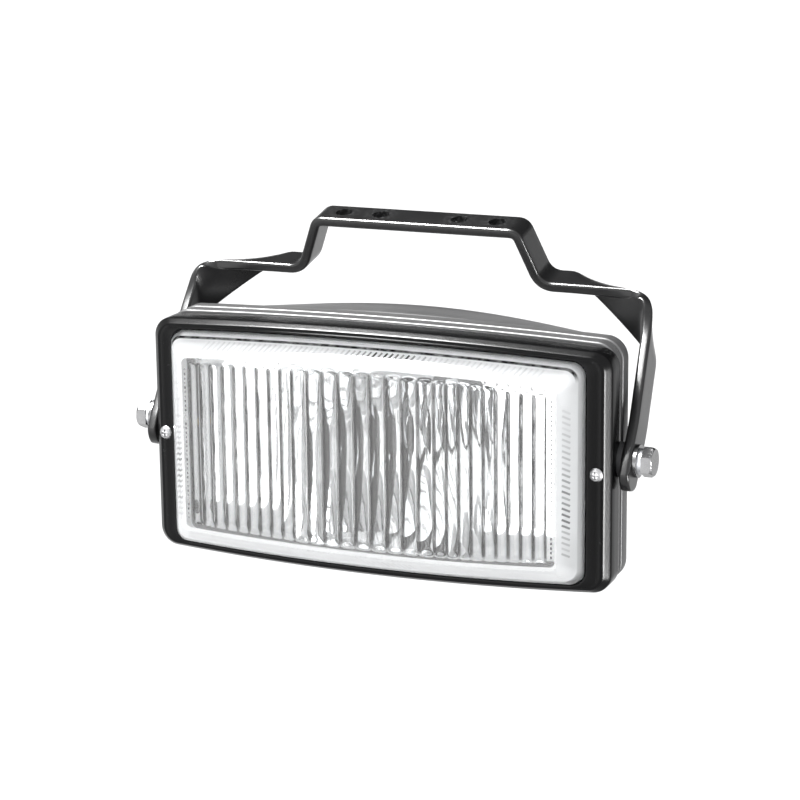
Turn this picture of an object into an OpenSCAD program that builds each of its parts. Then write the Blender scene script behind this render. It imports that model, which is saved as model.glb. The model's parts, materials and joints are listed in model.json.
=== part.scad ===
// Rectangular fog light hung in a folded strip bracket. The lamp tilts between the bracket's arms.
// Origin: centre of the bracket plate's top face. +Z up, the lamp looks along -Y.
// Lamp pieces are drawn upright with their own zero at the middle of the lens rim, then aimed.

/* [Bracket] */
// Width of the steel strip
strip_w = 18; // [16:1:20]
// Thickness of the steel strip
strip_t = 5; // [4:0.5:5]
// Half length of the raised plate, to its bend
plate_half = 55; // [53:0.5:57]
// Half distance between the feet of the two steps
foot_x = 65.5; // [64:0.5:70]
// Height of the raised plate above the shoulders
step_h = 27; // [24:1:30]
// Half width over the shoulders' outer bends
corner_x = 124; // [122:0.5:126]
// How far the oblique fold runs along the shoulder's back edge
fold_run = 45; // [40:1:48]
// Half spacing of the inner pair of bolt holes
inner_hole_x = 21; // [18:1:24]
// Half spacing of the outer pair of bolt holes
outer_hole_x = 41; // [37:1:44]
// Radius of the four bolt holes
hole_r = 4.25; // [3.5:0.25:5]

/* [Pivot] */
// Pivot axis in front of the plate's centre line
pivot_forward = 63.6; // [58:0.2:68]
// Pivot axis below the plate's top face
pivot_drop = 91.2; // [88:0.2:96]
// Outer face of the arms at the pivot
pad_x = 127.4; // [126.8:0.2:129]
// Radius of the pivot bolts' shanks
bolt_r = 4; // [3.5:0.1:4.2]
// Radial clearance of the shank in the arm
pivot_gap = 0.08; // [0.04:0.01:0.1]
// Upward aim of the lamp at rest, in degrees
aim = 12; // [0:1:20]

/* [Lamp] */
// Half width of the front frame
frame_hw = 120; // [119:0.5:120]
// Half height of the front frame at its corners
frame_hh = 58.6; // [57.5:0.1:59]
// Rise of the top and bottom edges at the middle
crown = 3.6; // [2:0.2:4.4]
// Forward bulge of the front at the middle
bulge = 3; // [1:0.5:4]
// Half width of the lens where it leaves the frame
lens_hw = 107.5; // [106:0.5:108]
// Half height of the lens where it leaves the frame
lens_hh = 53.6; // [52:0.2:53.8]
// How far the glass stands out of the frame
lens_out = 10; // [7:0.5:12]
// Depth of the housing behind the lens rim
housing_depth = 86.5; // [85:0.5:90]
// Wall thickness of the housing
wall = 2.6; // [2:0.2:3]
// Focal length of the reflector
focal = 19; // [18:0.5:20]
// Radius of the cable that the rear grommet takes
cable_r = 2.6; // [2:0.1:3]

/* [Hidden] */
$fn = 48;

black_paint = [0.09, 0.09, 0.10];
black_plastic = [0.14, 0.14, 0.15];
grey_rubber = [0.22, 0.22, 0.23];
zinc = [0.78, 0.79, 0.80];
steel = [0.62, 0.63, 0.65];
brass = [0.80, 0.66, 0.34];
mirror_silver = [0.90, 0.91, 0.93];
clear_glass = [0.85, 0.92, 0.96, 0.5];

// pivot seen from the middle of the lens rim
pivot_back = 22;
pivot_up = 4;

// strip: the front edge of each arm starts at the shoulder's outer corner
half_w = strip_w / 2;
arm_run = pivot_forward - half_w;
arm_fall = pivot_drop - step_h;
arm_reach = norm([arm_run, arm_fall]);
lean = atan2(arm_run, arm_fall) + asin(half_w / arm_reach);
arm_top = arm_reach * cos(asin(half_w / arm_reach));
pad_top = 17;
arm_end_r = 10;
arm_tail = 5;
bend_leg = 5.5;
corner_leg = 13;
fold_drop = 25;

// frame and glass, measured along the lamp's depth
frame_front = 4.2;
frame_back = 19;
frame_wall = 2.2;
frame_r = 9;
lens_r = 6;
flange_front = 8.4;
flange_back = 12;
lip_y = 16;
lens_flange_hw = 110.2;
glass = 3.2;
bevel = 8;

// housing
rib_hw = 118;
rib_hh = 60.2;
rib_rise = 2.6;
rear_cap_hw = 20;
spigot_hw = 116.6;
spigot_hh = 55.6;
boss_r = 8.6;
boss_x = 119.85;
insert_r = 5.5;
insert_x = 104;
flange_gap_x = 111.2;
port_x = 45;
port_z = -22;
port_y = 86;

// reflector and bulb, all on one axis
vertex_y = 70.5;
sheet = 1.6;
bowl_front = 17;
bowl_hh = 49.5;
neck_r = 12;
holder_y = 72.8;
base_y = 74.1;
clip_y = 76.2;
clip_z = -14.5;
wire_r = 0.6;
reflector_screw_x = 99;
reflector_screw_z = 40;

// fasteners
frame_screw_x = 113.3;
frame_screw_z = 0.6;
frame_screw_end = 13.6;
washer_gap = 0.15;
washer_t = 1.6;
lock_t = 2;
head_t = 5.3;
head_flats = 13;

corner_steps = 8;
edge_steps = 14;
side_steps = 4;

// ---- shared functions ----

function blend(a, b, u) = a + (b - a) * u;
function unit(v) = v / norm(v);

// quadratic bend from a to c around the sharp corner v, without its first point
function bend(a, v, c, n) =
    [for (i = [1:n]) let (u = i / n) (1 - u) * (1 - u) * a + 2 * u * (1 - u) * v + u * u * c];
function straight(a, b, n) = [for (i = [1:n]) blend(a, b, i / n)];
function toward(a, b, d) = a + unit(b - a) * d;

function corner(cx, cz, r, a) =
    [for (i = [0:corner_steps]) let (t = a + 90 * i / corner_steps) [cx + r * cos(t), cz + r * sin(t)]];
function between(a, b, n) = [for (i = [1:n - 1]) blend(a, b, i / n)];
function rounded(hw, hh, r) =
    let (x = hw - r, z = hh - r)
    concat(
        corner(x, -z, r, -90), between([hw, -z], [hw, z], side_steps),
        corner(x, z, r, 0), between([x, hh], [-x, hh], edge_steps),
        corner(-x, z, r, 90), between([-hw, z], [-hw, -z], side_steps),
        corner(-x, -z, r, 180), between([-x, -hh], [x, -hh], edge_steps)
    );
// rounded rectangle whose top and bottom rise by rise at the middle
function outline(hw, hh, rise, r) =
    [for (p = rounded(hw, hh, r)) [p[0], p[1] * (1 + rise / hh * (1 - pow(p[0] / hw, 2)))]];
// the same outline in the lamp, at depth y, pushed forward by swell at the middle
function ring(hw, hh, rise, r, y, swell = 0) =
    [for (p = outline(hw, hh, rise, r)) [p[0], y - swell * (1 - pow(p[0] / frame_hw, 2)), p[1]]];
function circle_ring(path, i, r, n) =
    let (
        last = len(path) - 1,
        along = unit(path[min(i + 1, last)] - path[max(i - 1, 0)]),
        side = unit(cross(along, [0.3, 0.2, 1])),
        up = cross(side, along)
    )
    [for (j = [0:n - 1]) path[i] + r * (cos(360 * j / n) * side + sin(360 * j / n) * up)];
function flat(lists) = [for (l = lists) for (p = l) p];

// ---- shared modules ----

// joins rings of points into one skin, with flat ends or closed on itself
module skin(rings, closed = false) {
    n = len(rings[0]);
    m = len(rings);
    spans = closed ? m - 1 : m - 2;
    sides = [
        for (i = [0:spans]) for (j = [0:n - 1])
            let (k = (j + 1) % n, this = i * n, next = (i + 1) % m * n)
            each [[this + j, this + k, next + k], [this + j, next + k, next + j]]
    ];
    ends = closed ? [] : [[for (j = [n - 1:-1:0]) j], [for (j = [0:n - 1]) (m - 1) * n + j]];
    polyhedron(points = flat(rings), faces = concat(sides, ends));
}

module in_lamp() {
    translate([0, -pivot_forward, -pivot_drop])
        rotate([-aim, 0, 0])
            translate([0, -pivot_back, -pivot_up])
                children();
}

module both_sides() {
    children();
    mirror([1, 0, 0])
        children();
}

module rod_y(x, z, y0, y1, r) {
    translate([x, y0, z])
        rotate([-90, 0, 0])
            cylinder(h = y1 - y0, r = r);
}

module rod_x(y, z, x0, x1, r) {
    translate([x0, y, z])
        rotate([0, 90, 0])
            cylinder(h = x1 - x0, r = r);
}

module on_axis(x = 0, z = 0) {
    translate([x, 0, z])
        rotate([-90, 0, 0])
            children();
}

module tube(path, r, n = 10) {
    skin([for (i = [0:len(path) - 1]) circle_ring(path, i, r, n)]);
}

// ---- bracket ----

// a point of an arm's outer face: s up the arm from the pivot, v across it from the front edge
function arm_point(s, v) =
    let (
        splay = max(0, (s - pad_top) / (arm_top - pad_top)),
        across = v - half_w
    )
    [
        blend(pad_x, corner_x, splay),
        -pivot_forward + across * cos(lean) + s * sin(lean),
        -pivot_drop - across * sin(lean) + s * cos(lean)
    ];

front_y = -half_w;
back_y = half_w;
function plate_end(y) = [plate_half, y, 0];
function foot(y) = [foot_x, y, -step_h];
fold_start = [corner_x - fold_run, back_y, -step_h];
fold_end = arm_point(arm_top - fold_drop, strip_w);
outer_corner = [corner_x, front_y, -step_h];

function step_edge(y) = concat(
    [[0, y, 0]],
    straight([0, y, 0], plate_end(y) - [bend_leg, 0, 0], 1),
    bend(plate_end(y) - [bend_leg, 0, 0], plate_end(y), toward(plate_end(y), foot(y), bend_leg), 6),
    straight(toward(plate_end(y), foot(y), bend_leg), toward(foot(y), plate_end(y), bend_leg), 1),
    bend(toward(foot(y), plate_end(y), bend_leg), foot(y), foot(y) + [bend_leg, 0, 0], 6)
);
front_edge = concat(
    step_edge(front_y),
    straight(foot(front_y) + [bend_leg, 0, 0], [fold_start[0], front_y, -step_h], 1),
    straight([fold_start[0], front_y, -step_h], outer_corner - [corner_leg, 0, 0], 5),
    bend(outer_corner - [corner_leg, 0, 0], outer_corner, arm_point(arm_top - corner_leg, 0), 10),
    straight(arm_point(arm_top - corner_leg, 0), arm_point(arm_top - fold_drop, 0), 5),
    straight(arm_point(arm_top - fold_drop, 0), arm_point(pad_top + 4, 0), 1),
    bend(arm_point(pad_top + 4, 0), arm_point(pad_top, 0), arm_point(pad_top - 4, 0), 4),
    straight(arm_point(pad_top - 4, 0), arm_point(-arm_end_r - arm_tail - 1, 0), 1)
);
back_edge = concat(
    step_edge(back_y),
    straight(foot(back_y) + [bend_leg, 0, 0], fold_start - [4, 0, 0], 1),
    bend(fold_start - [4, 0, 0], fold_start, toward(fold_start, fold_end, 8), 5),
    straight(toward(fold_start, fold_end, 8), toward(fold_end, fold_start, 8), 10),
    bend(toward(fold_end, fold_start, 8), fold_end, arm_point(arm_top - fold_drop - 8, strip_w), 5),
    straight(arm_point(arm_top - fold_drop - 8, strip_w), arm_point(pad_top + 4, strip_w), 1),
    bend(arm_point(pad_top + 4, strip_w), arm_point(pad_top, strip_w), arm_point(pad_top - 4, strip_w), 4),
    straight(arm_point(pad_top - 4, strip_w), arm_point(-arm_end_r - arm_tail - 1, strip_w), 1)
);

function mirrored(edge) = [for (i = [len(edge) - 1:-1:1]) [-edge[i][0], edge[i][1], edge[i][2]]];
function face_normal(edge, other, i) =
    let (last = len(edge) - 1)
    unit(cross(edge[min(i + 1, last)] - edge[max(i - 1, 0)], other[i] - edge[i]));
function strip_ring(front, back, i) =
    let (
        at_front = face_normal(front, back, i),
        at_back = unit(cross(back[min(i + 1, len(back) - 1)] - back[max(i - 1, 0)], back[i] - front[i]))
    )
    [front[i], back[i], back[i] - strip_t * at_back, front[i] - strip_t * at_front];

module arm_end_trim() {
    translate([corner_x - 10, -pivot_forward, -pivot_drop])
        rotate([-lean, 0, 0])
            difference() {
                translate([0, -strip_w, -2 * strip_w - arm_tail])
                    cube([24, 2 * strip_w, 2 * strip_w]);
                translate([-1, 0, -arm_tail])
                    rotate([0, 90, 0])
                        cylinder(h = 26, r = arm_end_r);
            }
}

module mounting_bracket() {
    front = concat(mirrored(front_edge), front_edge);
    back = concat(mirrored(back_edge), back_edge);
    color(black_paint)
        difference() {
            skin([for (i = [0:len(front) - 1]) strip_ring(front, back, i)]);
            for (x = [-outer_hole_x, -inner_hole_x, inner_hole_x, outer_hole_x])
                translate([x, 0, -strip_t - 1])
                    cylinder(h = strip_t + 2, r = hole_r);
            both_sides()
                rod_x(-pivot_forward, -pivot_drop, pad_x - strip_t - 2, pad_x + 2, bolt_r + pivot_gap);
            both_sides()
                arm_end_trim();
        }
}

// ---- front of the lamp ----

module front_frame() {
    inside_hw = frame_hw - frame_wall;
    inside_hh = frame_hh - frame_wall;
    inside_r = frame_r - frame_wall;
    in_lamp()
        color(black_plastic)
            difference() {
                skin(closed = true, rings = [
                    ring(lens_hw + 0.5, lens_hh + 0.5, crown - 0.8, lens_r, frame_front - 0.4, bulge),
                    ring(lens_hw + 1.8, lens_hh + 1.1, crown - 0.7, lens_r + 0.6, frame_front - 1, bulge),
                    ring(frame_hw - 4, frame_hh - 2.2, crown - 0.2, frame_r - 1.4, frame_front, bulge),
                    ring(frame_hw - 1.8, frame_hh - 1.2, crown, frame_r - 0.8, frame_front + 0.5, bulge),
                    ring(frame_hw - 0.5, frame_hh - 0.4, crown, frame_r - 0.3, frame_front + 1.8, bulge),
                    ring(frame_hw, frame_hh, crown, frame_r, frame_front + 3.6, bulge),
                    ring(frame_hw, frame_hh, crown, frame_r, frame_back),
                    ring(inside_hw, inside_hh, crown, inside_r, frame_back),
                    ring(inside_hw, inside_hh, crown, inside_r, flange_front - 0.1, bulge),
                    ring(lens_hw + 0.4, lens_hh + 0.4, crown - 0.8, lens_r, flange_front - 0.1, bulge)
                ]);
                both_sides() {
                    rod_y(frame_screw_x, frame_screw_z, 0, 30, 2.3);
                    rod_y(frame_screw_x, frame_screw_z, 0, frame_front - 0.4, 4.4);
                    rod_x(pivot_back, pivot_up, frame_hw - 4, frame_hw + 1, boss_r + 0.5);
                }
            }
}

function glass_ring(inset, y) =
    ring(lens_hw - inset, lens_hh - inset, crown - 0.8, max(lens_r - inset * 0.3, 2.5), y, bulge);
// front face of the glass, shrinking towards its middle
function pane_ring(hw, hh, k, y) = ring(hw * k, hh * k, (crown - 0.8) * k, 3.5 * k, y, bulge);

module lens() {
    flange_hh = frame_hh - frame_wall - 0.5;
    inner_hw = lens_hw - bevel - glass + 0.8;
    inner_hh = lens_hh - bevel - glass + 0.8;
    front_y = -lens_out;
    pane_hw = lens_hw - bevel - 0.8;
    pane_hh = lens_hh - bevel - 0.8;
    in_lamp()
        color(clear_glass)
            skin([
                for (k = [0.05, 0.35, 0.68]) pane_ring(pane_hw, pane_hh, k, front_y),
                glass_ring(bevel + 0.8, front_y),
                glass_ring(bevel - 0.2, front_y + 0.4),
                glass_ring(1, -0.9),
                glass_ring(0.2, 0.2),
                glass_ring(0, 1.4),
                glass_ring(0, flange_front),
                ring(lens_flange_hw, flange_hh, crown, lens_r + 1, flange_front, bulge),
                ring(lens_flange_hw, flange_hh, crown, lens_r + 1, flange_back),
                ring(lens_hw - glass, lens_hh - glass, crown - 0.8, 4, flange_back),
                ring(lens_hw - glass, lens_hh - glass, crown - 0.8, 4, 1.2, bulge),
                ring(inner_hw, inner_hh, crown - 0.8, 2.6, front_y + glass, bulge),
                for (k = [0.68, 0.35, 0.05]) pane_ring(inner_hw, inner_hh, k, front_y + glass)
            ]);
}

module lens_gasket() {
    in_lamp()
        color(grey_rubber)
            skin(closed = true, rings = [
                ring(lens_flange_hw, 55.2, crown, 6.5, flange_back + 0.05),
                ring(lens_flange_hw, 55.2, crown, 6.5, lip_y - 0.05),
                ring(105.2, 51.4, crown - 0.8, 4.5, lip_y - 0.05),
                ring(105.2, 51.4, crown - 0.8, 4.5, flange_back + 0.05)
            ]);
}

// ---- housing ----

// half width, half height, rise, corner radius and depth along the outside, front to back
function shell_sections() = [
    [rib_hw - 0.6, rib_hh - 0.6, rib_rise, 9.5, 20.5],
    [rib_hw, rib_hh, rib_rise, 10, 21.2],
    [rib_hw, rib_hh, rib_rise, 10, 26.5],
    [rib_hw - 0.5, rib_hh - 0.5, rib_rise, 9.6, 27.2],
    [rib_hw - 2.6, rib_hh - 2.4, rib_rise, 8, 27.6],
    [rib_hw - 2.6, rib_hh - 2.4, rib_rise, 8, 29.5],
    [rib_hw - 0.5, rib_hh - 0.5, rib_rise, 9.6, 29.9],
    [rib_hw, rib_hh, rib_rise, 10, 30.6],
    [rib_hw, rib_hh, rib_rise, 10, 37.2],
    [rib_hw - 0.6, rib_hh - 0.6, rib_rise, 10, 38.4],
    [114.5, 57.4, 4, 11.5, housing_depth - 46.5],
    [113, 56.3, 5.9, 13, housing_depth - 44.5],
    [111.5, 55.3, 7.2, 15, housing_depth - 38.5],
    [107, 53.8, 8.9, 19, housing_depth - 28.5],
    [99, 50, 11, 24, housing_depth - 19.5],
    [88, 43.5, 11.5, 28, housing_depth - 11.5],
    [72, 34, 10, 26, housing_depth - 5.5],
    [50, 22, 7, 18, housing_depth - 1.5],
    [rear_cap_hw, 9, 3, 8, housing_depth]
];
function section_ring(s, inset = 0, forward = 0) =
    ring(s[0] - inset, s[1] - inset, s[2], max(s[3] - inset, 3), s[4] - forward);

module shell() {
    sections = shell_sections();
    last = len(sections) - 1;
    inner = [
        for (k = [1:6])
            section_ring(sections[last - k], wall, wall * (k < 5 ? 1 : 0.4))
    ];
    skin(concat(
        [ring(rear_cap_hw, 9, 3, 8, housing_depth - wall)],
        inner,
        [
            ring(113.6, 56, 3, 8, 34),
            ring(113.6, 51.8, crown, 5, 20),
            ring(113.6, 51.8, crown, 5, lip_y),
            ring(spigot_hw, spigot_hh, crown, 6.5, lip_y),
            ring(spigot_hw, spigot_hh, crown, 6.5, 20.5)
        ],
        [for (s = sections) section_ring(s)]
    ));
}

module pivot_boss() {
    rod_x(pivot_back, pivot_up, flange_gap_x, boss_x, boss_r);
    intersection() {
        rod_x(pivot_back, pivot_up, insert_x - 1.5, flange_gap_x + 0.4, boss_r - 1);
        translate([insert_x - 5, lip_y + 0.2, -20])
            cube([20, 40, 40]);
    }
}

module screw_pad() {
    translate([flange_gap_x - 0.1, frame_screw_end - 4.6, frame_screw_z - 6])
        cube([spigot_hw - flange_gap_x - 0.4, 9, 12]);
}

module reflector_post(z) {
    rod_y(reflector_screw_x, z, bowl_front + sheet + 0.05, 58, 3.8);
}

module port_boss(x, r) {
    rod_y(x, port_z, port_y - 9, port_y, r);
}

module housing() {
    in_lamp()
        color(black_plastic)
            difference() {
                union() {
                    shell();
                    both_sides() {
                        pivot_boss();
                        screw_pad();
                        reflector_post(reflector_screw_z);
                        reflector_post(-reflector_screw_z);
                    }
                    port_boss(port_x, 11);
                    port_boss(-port_x, 7);
                }
                both_sides() {
                    rod_x(pivot_back, pivot_up, insert_x, boss_x + 1, insert_r);
                    rod_y(frame_screw_x, frame_screw_z, 8, frame_screw_end + 0.3, 1.9);
                    rod_y(frame_screw_x, frame_screw_z, 8, 11.2, 2.65);
                    for (z = [-reflector_screw_z, reflector_screw_z])
                        rod_y(reflector_screw_x, z, bowl_front, 30, 1.5);
                }
                rod_y(port_x, port_z, port_y - 12, port_y + 1, 6);
                rod_y(-port_x, port_z, port_y - 12, port_y + 1, 2.5);
            }
}

// ---- reflector and bulb ----

function bowl_depth(r) = vertex_y - r * r / (4 * focal);
bowl_r = sqrt(4 * focal * (vertex_y - bowl_front));
bowl_steps = 14;

module bowl(thick) {
    on_axis()
        rotate_extrude($fn = 72)
            polygon(concat(
                [[0, bowl_front]],
                [for (i = [bowl_steps:-1:0])
                    let (r = bowl_r * i / bowl_steps) [r + thick * i / bowl_steps, bowl_depth(r) + thick]]
            ));
}

module reflector() {
    in_lamp()
        color(mirror_silver)
            difference() {
                union() {
                    intersection() {
                        bowl(sheet);
                        translate([-100, bowl_front, -bowl_hh - sheet])
                            cube([200, 80, 2 * (bowl_hh + sheet)]);
                    }
                    translate([0, bowl_front + sheet, 0])
                        rotate([90, 0, 0])
                            linear_extrude(height = sheet)
                                polygon(outline(112.6, 51.2, crown - 0.6, 5));
                }
                intersection() {
                    translate([0, -0.02, 0])
                        bowl(0);
                    translate([-100, bowl_front - 1, -bowl_hh])
                        cube([200, 80, 2 * bowl_hh]);
                }
                rod_y(0, 0, 50, 90, neck_r);
                both_sides() {
                    translate([insert_x - 3, bowl_front - 1, pivot_up - boss_r - 1])
                        cube([20, 4, 2 * boss_r + 2]);
                    for (z = [-reflector_screw_z, reflector_screw_z])
                        rod_y(reflector_screw_x, z, 10, 30, 1.8);
                }
                for (a = [0, 180])
                    shield_leg_at(a)
                        rod_y(0, 17, 50, 90, 0.9);
            }
}

module reflector_screws() {
    in_lamp()
        color(zinc)
            both_sides()
                for (z = [-reflector_screw_z, reflector_screw_z])
                    difference() {
                        union() {
                            rod_y(reflector_screw_x, z, bowl_front - 2, bowl_front - 0.02, 3.1);
                            rod_y(reflector_screw_x, z, bowl_front - 0.1, 28, 1.48);
                        }
                        translate([reflector_screw_x, bowl_front - 2, z])
                            cube([4, 2, 0.8], center = true);
                        translate([reflector_screw_x, bowl_front - 2, z])
                            cube([0.8, 2, 4], center = true);
                    }
}

module bulb_holder() {
    in_lamp()
        color(steel)
            difference() {
                union() {
                    rod_y(0, 0, holder_y, holder_y + 1.2, 20);
                    rod_y(0, 0, holder_y - 2.6, holder_y + 0.1, neck_r - 0.05);
                    for (x = [-9.6, 8.4])
                        translate([x, holder_y + 1, clip_z - 1.6])
                            cube([1.2, clip_y - holder_y + 0.6, 3.2]);
                    for (x = [-8.4, 7.4])
                        translate([x, holder_y + 1, 13])
                            cube([1, 3.4, 3]);
                }
                rod_y(0, 0, holder_y - 4, holder_y + 3, 8);
                rod_x(clip_y, clip_z, -12, 12, wire_r + 0.06);
                for (a = [30, 150, 270])
                    rotate([0, a, 0])
                        rod_y(17, 0, holder_y - 1, holder_y + 3, 1);
            }
}

module holder_rivets() {
    in_lamp()
        color(steel)
            for (a = [30, 150, 270])
                rotate([0, a, 0]) {
                    rod_y(17, 0, holder_y + 0.1, holder_y + 1.3, 0.98);
                    rod_y(17, 0, holder_y + 1.22, holder_y + 1.9, 2);
                }
}

module bulb_base() {
    in_lamp()
        color(steel) {
            difference() {
                rod_y(0, 0, base_y, base_y + 1, 11);
                translate([-12, base_y - 1, 9])
                    cube([24, 3, 5]);
            }
            rod_y(0, 0, base_y - 8, base_y + 0.1, 7);
            rod_y(0, 0, base_y + 0.9, base_y + 5, 5);
        }
}

glass_root = base_y - 8;
glass_tip = 41;
glass_r = 5.8;

module bulb_glass() {
    in_lamp()
        color(clear_glass)
            difference() {
                union() {
                    rod_y(0, 0, glass_tip + glass_r, glass_root - 0.02, glass_r);
                    translate([0, glass_tip + glass_r, 0])
                        sphere(r = glass_r);
                }
                rod_y(0, 0, glass_tip + glass_r, glass_root - 3, glass_r - 0.9);
                translate([0, glass_tip + glass_r, 0])
                    sphere(r = glass_r - 0.9);
            }
}

filament_y = vertex_y - focal;

module bulb_filament() {
    in_lamp()
        color(steel)
            rod_x(filament_y, 0, -2.8, 2.8, 0.7);
}

module bulb_posts() {
    in_lamp()
        color(zinc)
            both_sides() {
                rod_y(3.3, 0, filament_y - 1, glass_root - 3.05, 0.45);
                rod_x(filament_y, 0, 2.82, 3.4, 0.4);
            }
}

module shield_leg_at(a) {
    rotate([0, a, 0])
        children();
}

shield_y = 34;
shield_r = 10;
shield_foot_r = 19;
shield_foot_y = bowl_depth(shield_foot_r) - 0.9;

module bulb_shield() {
    in_lamp()
        color(black_paint) {
            on_axis()
                rotate_extrude()
                    polygon([
                        [0, shield_y], [5, shield_y + 0.9], [8.6, shield_y + 3.4], [shield_r, shield_y + 7],
                        [shield_r, shield_y + 13], [shield_r - 0.8, shield_y + 13],
                        [shield_r - 0.8, shield_y + 7.2], [8, shield_y + 4.1], [4.8, shield_y + 1.8],
                        [0, shield_y + 0.9]
                    ]);
            for (a = [0, 180])
                shield_leg_at(a) {
                    translate([-2, shield_y + 12.5, shield_r - 0.8])
                        cube([4, shield_foot_y - shield_y - 11.7, 0.8]);
                    translate([-2, shield_foot_y, shield_r - 0.8])
                        cube([4, 0.8, shield_foot_r - shield_r + 0.8]);
                }
        }
}

module shield_rivets() {
    in_lamp()
        color(steel)
            for (a = [0, 180])
                shield_leg_at(a) {
                    rod_y(0, 17, shield_foot_y - 0.7, shield_foot_y - 0.02, 1.6);
                    rod_y(0, 17, shield_foot_y + 0.82, shield_foot_y + 4.4, 0.88);
                }
}

module bulb_clip() {
    in_lamp()
        color(zinc) {
            rod_x(clip_y, clip_z, -10.6, 10.6, wire_r);
            for (x = [-6.4, 6.4]) {
                translate([x, clip_y, clip_z])
                    sphere(r = wire_r, $fn = 24);
                translate([x, clip_y, clip_z])
                    cylinder(h = 13 - clip_z, r = wire_r);
                translate([x, clip_y, 13])
                    sphere(r = wire_r, $fn = 24);
            }
            rod_x(clip_y, 13, -6.4, 6.4, wire_r);
        }
}

lead_start = [0, base_y + 5.3, 0];
lead_turn = [8, 81, -9];
lead_end = [17.2, 76.1, -19.7];
lead_route = bend(lead_start, [0, 83.6, 0], lead_turn, 10);
lead_tail = bend(lead_turn, [14, 78.4, -16], lead_end, 6);

module bulb_lead() {
    in_lamp()
        color([0.55, 0.12, 0.10])
            tube(concat([lead_start], lead_route, lead_tail), 1.2);
}

module lead_terminal() {
    in_lamp()
        color(brass)
            translate(lead_end + [1, -0.1, -1.1]) {
                translate([0, -1.6, -3.4])
                    cube([9, 3.2, 6.8]);
                translate([8.8, -0.4, -3.15])
                    cube([6.4, 0.8, 6.3]);
            }
}

module earth_tag() {
    in_lamp()
        color(brass) {
            translate([-27, holder_y + 1.25, -3.15])
                cube([15, 0.8, 6.3]);
            translate([-27, holder_y + 1.25, -3.15])
                cube([0.8, 6, 6.3]);
        }
}

// ---- rear ports ----

module cable_grommet() {
    in_lamp()
        color(grey_rubber)
            on_axis(port_x, port_z)
                rotate_extrude()
                    polygon([
                        [cable_r, port_y - 11], [7.4, port_y - 11], [7.4, port_y - 9.1],
                        [5.95, port_y - 9.1], [5.95, port_y + 0.05], [9, port_y + 0.05],
                        [9, port_y + 1.6], [5.4, port_y + 3.4], [cable_r + 1.6, port_y + 9],
                        [cable_r, port_y + 9]
                    ]);
}

module breather_cap() {
    in_lamp()
        color(grey_rubber)
            on_axis(-port_x, port_z)
                rotate_extrude()
                    polygon([
                        [0.8, port_y - 10.6], [3.2, port_y - 10.6], [3.2, port_y - 9.05],
                        [2.45, port_y - 9.05],
                        [2.45, port_y + 0.05], [5, port_y + 0.05], [5, port_y + 2.6],
                        [4.2, port_y + 3.6], [0, port_y + 3.6], [0, port_y + 1.4],
                        [0.8, port_y + 1.4]
                    ]);
}

// ---- fasteners ----

module frame_screws() {
    seat = frame_front - 0.42;
    in_lamp()
        color(zinc)
            both_sides()
                difference() {
                    on_axis(frame_screw_x, frame_screw_z)
                        rotate_extrude()
                            polygon([
                                [0, seat - 2.1], [1.6, seat - 2], [2.7, seat - 1.5], [3.4, seat - 0.6],
                                [3.4, seat], [1.75, seat], [1.75, frame_screw_end - 1],
                                [0.9, frame_screw_end], [0, frame_screw_end]
                            ]);
                    for (size = [[3.8, 2.4, 0.9], [0.9, 2.4, 3.8]])
                        translate([frame_screw_x, seat - 2.1, frame_screw_z])
                            cube(size, center = true);
                }
}

module frame_screw_nuts() {
    in_lamp()
        color(brass)
            both_sides()
                difference() {
                    rod_y(frame_screw_x, frame_screw_z, 9.1, 11.15, 2.6);
                    rod_y(frame_screw_x, frame_screw_z, 8, 13, 1.8);
                }
}

module pivot_bolt() {
    head_x = pad_x + washer_gap + washer_t + lock_t + 0.1;
    translate([0, pivot_back, pivot_up]) {
        intersection() {
            translate([head_x, 0, 0])
                rotate([0, 90, 0])
                    cylinder(h = head_t, r = head_flats / 2 / cos(30), $fn = 6);
            translate([head_x - 0.1, 0, 0])
                rotate([0, 90, 0])
                    cylinder(h = head_t + 0.2, r1 = head_flats / 2 + 4, r2 = head_flats / 2 - 0.1);
        }
        translate([insert_x + 1, 0, 0])
            rotate([0, 90, 0])
                cylinder(h = head_x - insert_x - 0.9, r = bolt_r);
    }
}

module pivot_bolt_right() {
    in_lamp()
        color(zinc)
            pivot_bolt();
}

module pivot_bolt_left() {
    in_lamp()
        color(zinc)
            mirror([1, 0, 0])
                pivot_bolt();
}

module collar(x0, x1, r, bore) {
    difference() {
        rod_x(pivot_back, pivot_up, x0, x1, r);
        rod_x(pivot_back, pivot_up, x0 - 1, x1 + 1, bore);
    }
}

module pivot_washers() {
    in_lamp()
        color(zinc)
            both_sides()
                collar(pad_x + washer_gap, pad_x + washer_gap + washer_t, 8, bolt_r + 0.05);
}

module pivot_lock_washers() {
    start = pad_x + washer_gap + washer_t + 0.05;
    in_lamp()
        color(steel)
            both_sides()
                difference() {
                    collar(start, start + lock_t, 6.3, bolt_r + 0.05);
                    translate([start - 1, pivot_back - 0.4, pivot_up + 2])
                        cube([lock_t + 2, 0.8, 6]);
                }
}

module pivot_spacers() {
    in_lamp()
        color(grey_rubber)
            both_sides()
                collar(boss_x + 0.05, pad_x - strip_t - washer_gap, boss_r, bolt_r + 0.05);
}

module pivot_insert() {
    collar(insert_x + 0.02, boss_x, insert_r - 0.02, bolt_r + 0.01);
}

module pivot_insert_right() {
    in_lamp()
        color(brass)
            pivot_insert();
}

module pivot_insert_left() {
    in_lamp()
        color(brass)
            mirror([1, 0, 0])
                pivot_insert();
}

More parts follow.
